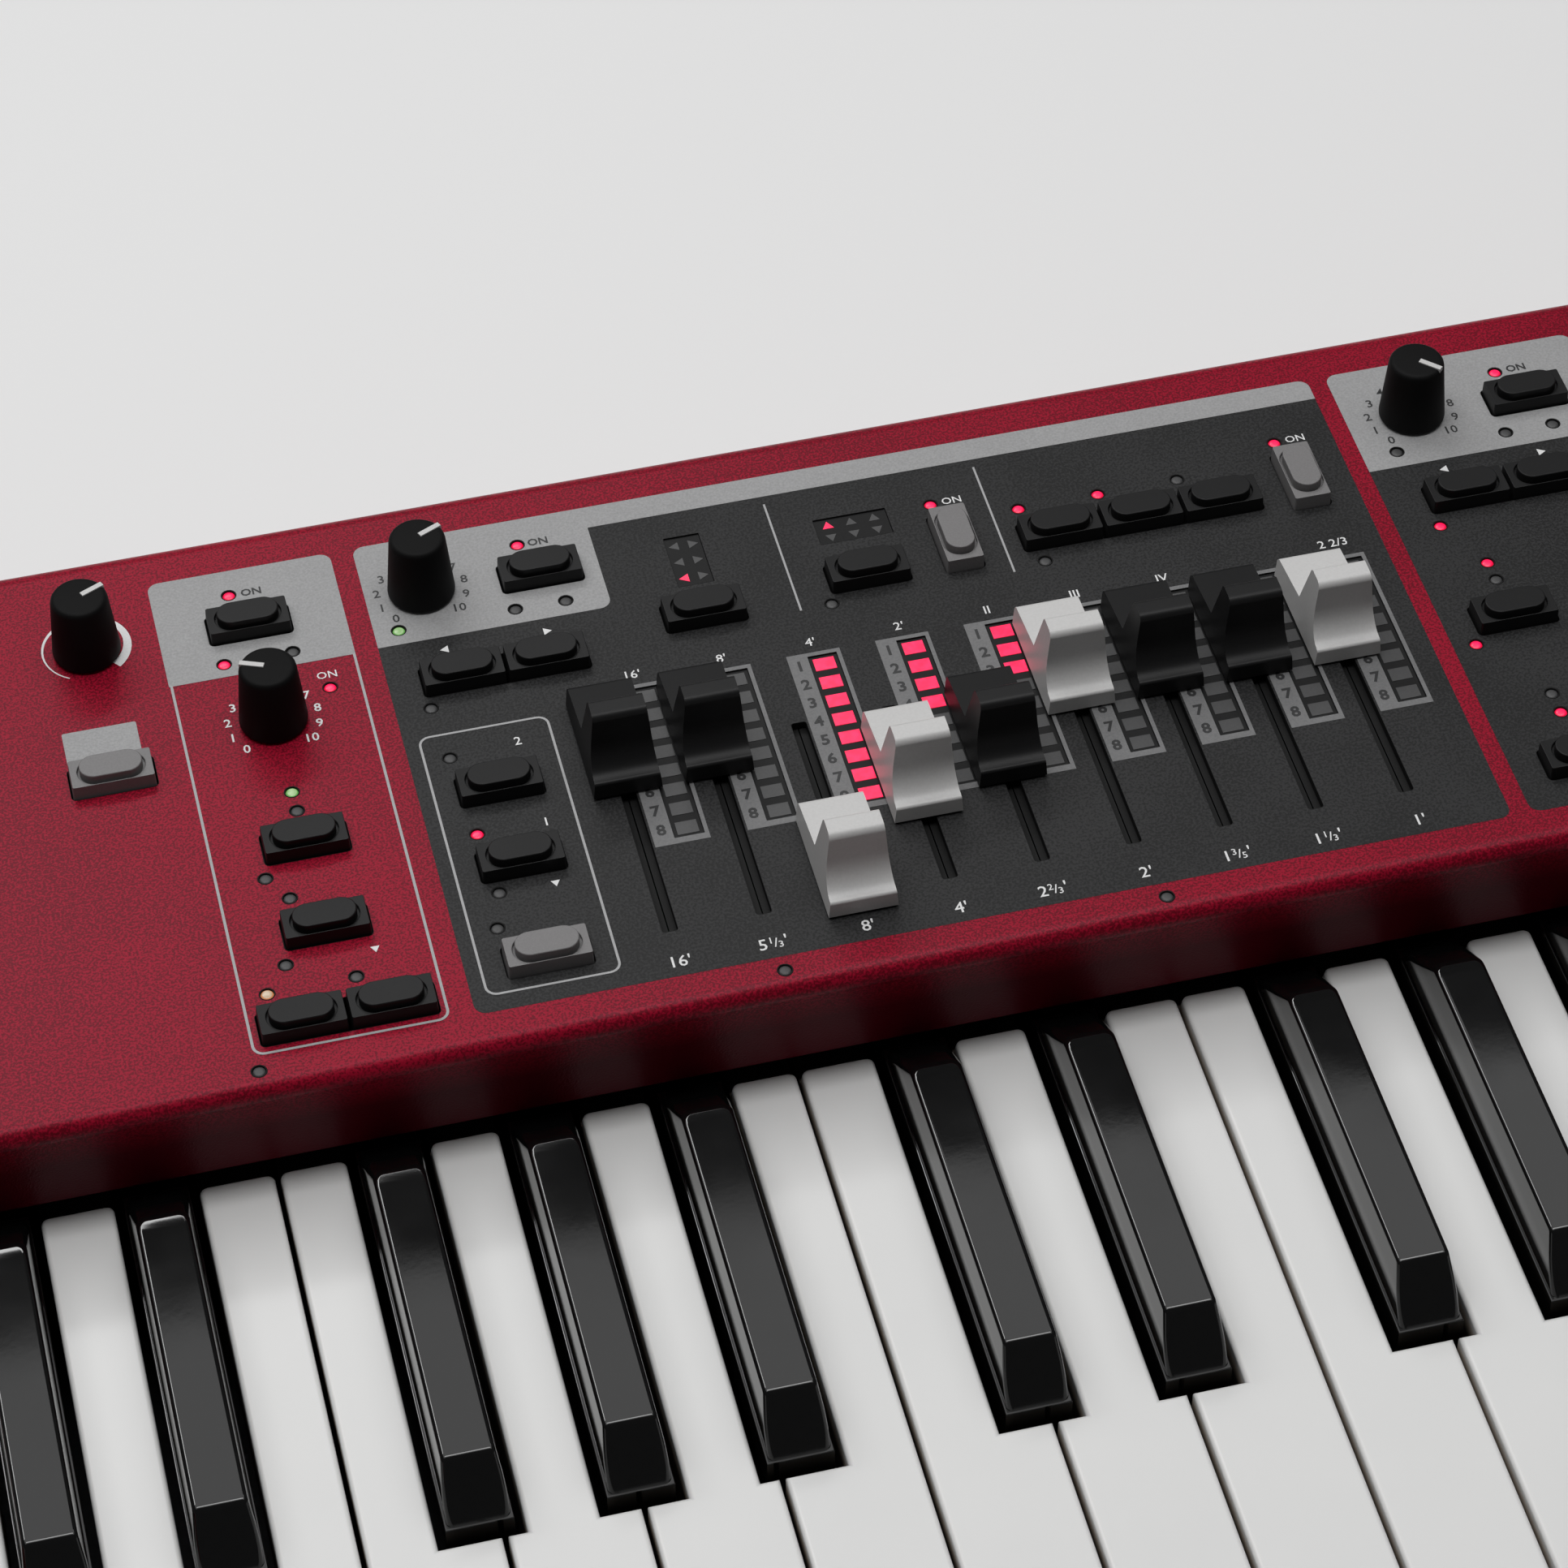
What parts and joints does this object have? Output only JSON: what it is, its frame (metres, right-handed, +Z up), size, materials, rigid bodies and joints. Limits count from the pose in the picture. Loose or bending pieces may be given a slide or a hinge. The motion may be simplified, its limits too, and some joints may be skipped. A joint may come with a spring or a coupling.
{
  "type": "stage piano",
  "caption": "Stage piano: a folded red sheet-metal case with hinged piano keys, organ drawbars that slide in slots, level knobs, push buttons and rear sockets.",
  "frame": {"origin": "the floor under the centre of the instrument's outline", "axes": "+X from the bass end to the treble end, +Y from the player to the back, +Z up"},
  "size_m": [0.9, 0.281, 0.1026],
  "materials": {
    "red_powder_coat": "fine-textured powder coat",
    "red_lacquered_wood": "satin lacquer",
    "white_key_plastic": "satin gloss",
    "black_key_plastic": "gloss",
    "white_drawbar_plastic": "satin",
    "black_control_plastic": "matt",
    "grey_button_plastic": "matt",
    "black_rubber": "matt",
    "circuit_board": "solder mask",
    "display_acrylic": "clear gloss"
  },
  "bodies": {
    "case": {"bottom_tray": "red_powder_coat", "top_panel": "red_powder_coat", "left_cheek": "red_lacquered_wood", "right_cheek": "red_lacquered_wood", "key_bed": "white_key_plastic", "foot_front_left": "black_rubber", "foot_front_right": "black_rubber", "foot_back_left": "black_rubber", "foot_back_right": "black_rubber", "panel_board": "circuit_board", "main_board": "circuit_board", "display_window": "display_acrylic", "rotary_key_mat": "black_control_plastic", "organ_key_mat": "black_control_plastic", "piano_key_mat": "black_control_plastic"},
    "key_01_c": {"key_01_c": "white_key_plastic"},
    "key_02_c_sharp": {"key_02_c_sharp": "black_key_plastic"},
    "key_03_d": {"key_03_d": "white_key_plastic"},
    "key_04_d_sharp": {"key_04_d_sharp": "black_key_plastic"},
    "key_05_e": {"key_05_e": "white_key_plastic"},
    "key_06_f": {"key_06_f": "white_key_plastic"},
    "key_07_f_sharp": {"key_07_f_sharp": "black_key_plastic"},
    "key_08_g": {"key_08_g": "white_key_plastic"},
    "key_09_g_sharp": {"key_09_g_sharp": "black_key_plastic"},
    "key_10_a": {"key_10_a": "white_key_plastic"},
    "key_11_a_sharp": {"key_11_a_sharp": "black_key_plastic"},
    "key_12_b": {"key_12_b": "white_key_plastic"},
    "key_13_c": {"key_13_c": "white_key_plastic"},
    "key_14_c_sharp": {"key_14_c_sharp": "black_key_plastic"},
    "key_15_d": {"key_15_d": "white_key_plastic"},
    "key_16_d_sharp": {"key_16_d_sharp": "black_key_plastic"},
    "key_17_e": {"key_17_e": "white_key_plastic"},
    "key_18_f": {"key_18_f": "white_key_plastic"},
    "key_19_f_sharp": {"key_19_f_sharp": "black_key_plastic"},
    "key_20_g": {"key_20_g": "white_key_plastic"},
    "key_21_g_sharp": {"key_21_g_sharp": "black_key_plastic"},
    "key_22_a": {"key_22_a": "white_key_plastic"},
    "drawbar_1": {"drawbar_1": "black_control_plastic"},
    "drawbar_2": {"drawbar_2": "black_control_plastic"},
    "drawbar_3": {"drawbar_3": "white_drawbar_plastic"},
    "drawbar_4": {"drawbar_4": "white_drawbar_plastic"},
    "drawbar_5": {"drawbar_5": "black_control_plastic"},
    "drawbar_6": {"drawbar_6": "white_drawbar_plastic"},
    "drawbar_7": {"drawbar_7": "black_control_plastic"},
    "drawbar_8": {"drawbar_8": "black_control_plastic"},
    "drawbar_9": {"drawbar_9": "white_drawbar_plastic"},
    "master_level_knob": {"master_level_knob": "black_control_plastic"},
    "drive_knob": {"drive_knob": "black_control_plastic"},
    "organ_level_knob": {"organ_level_knob": "black_control_plastic"},
    "piano_level_knob": {"piano_level_knob": "black_control_plastic"},
    "programme_dial": {"programme_dial": "black_control_plastic"},
    "synth_level_knob": {"synth_level_knob": "black_control_plastic"},
    "filter_knob": {"filter_knob": "black_control_plastic"},
    "effect_amount_knob": {"effect_amount_knob": "black_control_plastic"},
    "vibrato_button": {"vibrato_button": "grey_button_plastic"},
    "slow_button": {"slow_button": "black_control_plastic"},
    "fast_button": {"fast_button": "black_control_plastic"},
    "live_button": {"live_button": "grey_button_plastic"},
    "chorus_on_button": {"chorus_on_button": "grey_button_plastic"},
    "percussion_on_button": {"percussion_on_button": "grey_button_plastic"}
  },
  "joints": [
    {"name": "key_01_c_hinge", "type": "hinge", "parent": "case", "child": "key_01_c", "pos_m": [-0.41125, 0.0565, 0.05], "axis": [1, 0, 0], "range_deg": [0, 3.03], "stiffness_Nm_per_rad": 1.2, "springref_deg": -6.88},
    {"name": "key_02_c_sharp_hinge", "type": "hinge", "parent": "case", "child": "key_02_c_sharp", "pos_m": [-0.4017, 0.0565, 0.05], "axis": [1, 0, 0], "range_deg": [0, 3.03], "stiffness_Nm_per_rad": 1.2, "springref_deg": -6.88},
    {"name": "key_03_d_hinge", "type": "hinge", "parent": "case", "child": "key_03_d", "pos_m": [-0.38775, 0.0565, 0.05], "axis": [1, 0, 0], "range_deg": [0, 3.03], "stiffness_Nm_per_rad": 1.2, "springref_deg": -6.88},
    {"name": "key_04_d_sharp_hinge", "type": "hinge", "parent": "case", "child": "key_04_d_sharp", "pos_m": [-0.3738, 0.0565, 0.05], "axis": [1, 0, 0], "range_deg": [0, 3.03], "stiffness_Nm_per_rad": 1.2, "springref_deg": -6.88},
    {"name": "key_05_e_hinge", "type": "hinge", "parent": "case", "child": "key_05_e", "pos_m": [-0.36425, 0.0565, 0.05], "axis": [1, 0, 0], "range_deg": [0, 3.03], "stiffness_Nm_per_rad": 1.2, "springref_deg": -6.88},
    {"name": "key_06_f_hinge", "type": "hinge", "parent": "case", "child": "key_06_f", "pos_m": [-0.34075, 0.0565, 0.05], "axis": [1, 0, 0], "range_deg": [0, 3.03], "stiffness_Nm_per_rad": 1.2, "springref_deg": -6.88},
    {"name": "key_07_f_sharp_hinge", "type": "hinge", "parent": "case", "child": "key_07_f_sharp", "pos_m": [-0.3327, 0.0565, 0.05], "axis": [1, 0, 0], "range_deg": [0, 3.03], "stiffness_Nm_per_rad": 1.2, "springref_deg": -6.88},
    {"name": "key_08_g_hinge", "type": "hinge", "parent": "case", "child": "key_08_g", "pos_m": [-0.31725, 0.0565, 0.05], "axis": [1, 0, 0], "range_deg": [0, 3.03], "stiffness_Nm_per_rad": 1.2, "springref_deg": -6.88},
    {"name": "key_09_g_sharp_hinge", "type": "hinge", "parent": "case", "child": "key_09_g_sharp", "pos_m": [-0.3055, 0.0565, 0.05], "axis": [1, 0, 0], "range_deg": [0, 3.03], "stiffness_Nm_per_rad": 1.2, "springref_deg": -6.88},
    {"name": "key_10_a_hinge", "type": "hinge", "parent": "case", "child": "key_10_a", "pos_m": [-0.29375, 0.0565, 0.05], "axis": [1, 0, 0], "range_deg": [0, 3.03], "stiffness_Nm_per_rad": 1.2, "springref_deg": -6.88},
    {"name": "key_11_a_sharp_hinge", "type": "hinge", "parent": "case", "child": "key_11_a_sharp", "pos_m": [-0.2783, 0.0565, 0.05], "axis": [1, 0, 0], "range_deg": [0, 3.03], "stiffness_Nm_per_rad": 1.2, "springref_deg": -6.88},
    {"name": "key_12_b_hinge", "type": "hinge", "parent": "case", "child": "key_12_b", "pos_m": [-0.27025, 0.0565, 0.05], "axis": [1, 0, 0], "range_deg": [0, 3.03], "stiffness_Nm_per_rad": 1.2, "springref_deg": -6.88},
    {"name": "key_13_c_hinge", "type": "hinge", "parent": "case", "child": "key_13_c", "pos_m": [-0.24675, 0.0565, 0.05], "axis": [1, 0, 0], "range_deg": [0, 3.03], "stiffness_Nm_per_rad": 1.2, "springref_deg": -6.88},
    {"name": "key_14_c_sharp_hinge", "type": "hinge", "parent": "case", "child": "key_14_c_sharp", "pos_m": [-0.2372, 0.0565, 0.05], "axis": [1, 0, 0], "range_deg": [0, 3.03], "stiffness_Nm_per_rad": 1.2, "springref_deg": -6.88},
    {"name": "key_15_d_hinge", "type": "hinge", "parent": "case", "child": "key_15_d", "pos_m": [-0.22325, 0.0565, 0.05], "axis": [1, 0, 0], "range_deg": [0, 3.03], "stiffness_Nm_per_rad": 1.2, "springref_deg": -6.88},
    {"name": "key_16_d_sharp_hinge", "type": "hinge", "parent": "case", "child": "key_16_d_sharp", "pos_m": [-0.2093, 0.0565, 0.05], "axis": [1, 0, 0], "range_deg": [0, 3.03], "stiffness_Nm_per_rad": 1.2, "springref_deg": -6.88},
    {"name": "key_17_e_hinge", "type": "hinge", "parent": "case", "child": "key_17_e", "pos_m": [-0.19975, 0.0565, 0.05], "axis": [1, 0, 0], "range_deg": [0, 3.03], "stiffness_Nm_per_rad": 1.2, "springref_deg": -6.88},
    {"name": "key_18_f_hinge", "type": "hinge", "parent": "case", "child": "key_18_f", "pos_m": [-0.17625, 0.0565, 0.05], "axis": [1, 0, 0], "range_deg": [0, 3.03], "stiffness_Nm_per_rad": 1.2, "springref_deg": -6.88},
    {"name": "key_19_f_sharp_hinge", "type": "hinge", "parent": "case", "child": "key_19_f_sharp", "pos_m": [-0.1682, 0.0565, 0.05], "axis": [1, 0, 0], "range_deg": [0, 3.03], "stiffness_Nm_per_rad": 1.2, "springref_deg": -6.88},
    {"name": "key_20_g_hinge", "type": "hinge", "parent": "case", "child": "key_20_g", "pos_m": [-0.15275, 0.0565, 0.05], "axis": [1, 0, 0], "range_deg": [0, 3.03], "stiffness_Nm_per_rad": 1.2, "springref_deg": -6.88},
    {"name": "key_21_g_sharp_hinge", "type": "hinge", "parent": "case", "child": "key_21_g_sharp", "pos_m": [-0.141, 0.0565, 0.05], "axis": [1, 0, 0], "range_deg": [0, 3.03], "stiffness_Nm_per_rad": 1.2, "springref_deg": -6.88},
    {"name": "key_22_a_hinge", "type": "hinge", "parent": "case", "child": "key_22_a", "pos_m": [-0.12925, 0.0565, 0.05], "axis": [1, 0, 0], "range_deg": [0, 3.03], "stiffness_Nm_per_rad": 1.2, "springref_deg": -6.88},
    {"name": "drawbar_1_slide", "type": "slide", "parent": "case", "child": "drawbar_1", "axis": [0, -1, 0], "range_m": [0, 0.0384]},
    {"name": "drawbar_2_slide", "type": "slide", "parent": "case", "child": "drawbar_2", "axis": [0, -1, 0], "range_m": [0, 0.0384]},
    {"name": "drawbar_3_slide", "type": "slide", "parent": "case", "child": "drawbar_3", "axis": [0, -1, 0], "range_m": [-0.0384, 0]},
    {"name": "drawbar_4_slide", "type": "slide", "parent": "case", "child": "drawbar_4", "axis": [0, -1, 0], "range_m": [-0.0192, 0.0192]},
    {"name": "drawbar_5_slide", "type": "slide", "parent": "case", "child": "drawbar_5", "axis": [0, -1, 0], "range_m": [-0.0144, 0.024]},
    {"name": "drawbar_6_slide", "type": "slide", "parent": "case", "child": "drawbar_6", "axis": [0, -1, 0], "range_m": [0, 0.0384]},
    {"name": "drawbar_7_slide", "type": "slide", "parent": "case", "child": "drawbar_7", "axis": [0, -1, 0], "range_m": [0, 0.0384]},
    {"name": "drawbar_8_slide", "type": "slide", "parent": "case", "child": "drawbar_8", "axis": [0, -1, 0], "range_m": [0, 0.0384]},
    {"name": "drawbar_9_slide", "type": "slide", "parent": "case", "child": "drawbar_9", "axis": [0, -1, 0], "range_m": [0, 0.0384]},
    {"name": "master_level_knob_turn", "type": "hinge", "parent": "case", "child": "master_level_knob", "pos_m": [-0.3669, 0.1145, 0.086], "axis": [0, 0, 1], "range_deg": [-70, 200]},
    {"name": "drive_knob_turn", "type": "hinge", "parent": "case", "child": "drive_knob", "pos_m": [-0.3363, 0.088, 0.086], "axis": [0, 0, 1], "range_deg": [-202.5, 67.5]},
    {"name": "organ_level_knob_turn", "type": "hinge", "parent": "case", "child": "organ_level_knob", "pos_m": [-0.3037, 0.1145, 0.086], "axis": [0, 0, 1], "range_deg": [-70, 200]},
    {"name": "piano_level_knob_turn", "type": "hinge", "parent": "case", "child": "piano_level_knob", "pos_m": [-0.1088, 0.1145, 0.086], "axis": [0, 0, 1], "range_deg": [0, 270]},
    {"name": "programme_dial_turn", "type": "hinge", "parent": "case", "child": "programme_dial", "pos_m": [-0.01069, 0.0645, 0.086], "axis": [0, 0, 1], "range_deg": [-135, 135]},
    {"name": "synth_level_knob_turn", "type": "hinge", "parent": "case", "child": "synth_level_knob", "pos_m": [0.11036, 0.1145, 0.086], "axis": [0, 0, 1], "range_deg": [-105, 165]},
    {"name": "filter_knob_turn", "type": "hinge", "parent": "case", "child": "filter_knob", "pos_m": [0.1984, 0.1085, 0.086], "axis": [0, 0, 1], "range_deg": [-155, 115]},
    {"name": "effect_amount_knob_turn", "type": "hinge", "parent": "case", "child": "effect_amount_knob", "pos_m": [0.30625, 0.1145, 0.086], "axis": [0, 0, 1], "range_deg": [-185, 85]},
    {"name": "vibrato_button_push", "type": "slide", "parent": "case", "child": "vibrato_button", "axis": [0, 0, -1], "range_m": [0, 0.0008], "stiffness_N_per_m": 600, "springref_m": -0.001},
    {"name": "slow_button_push", "type": "slide", "parent": "case", "child": "slow_button", "axis": [0, 0, -1], "range_m": [0, 0.0008], "stiffness_N_per_m": 600, "springref_m": -0.001},
    {"name": "fast_button_push", "type": "slide", "parent": "case", "child": "fast_button", "axis": [0, 0, -1], "range_m": [0, 0.0008], "stiffness_N_per_m": 600, "springref_m": -0.001},
    {"name": "live_button_push", "type": "slide", "parent": "case", "child": "live_button", "axis": [0, 0, -1], "range_m": [0, 0.0008], "stiffness_N_per_m": 600, "springref_m": -0.001},
    {"name": "chorus_on_button_push", "type": "slide", "parent": "case", "child": "chorus_on_button", "axis": [0, 0, -1], "range_m": [0, 0.0008], "stiffness_N_per_m": 600, "springref_m": -0.001},
    {"name": "percussion_on_button_push", "type": "slide", "parent": "case", "child": "percussion_on_button", "axis": [0, 0, -1], "range_m": [0, 0.0008], "stiffness_N_per_m": 600, "springref_m": -0.001}
  ]
}
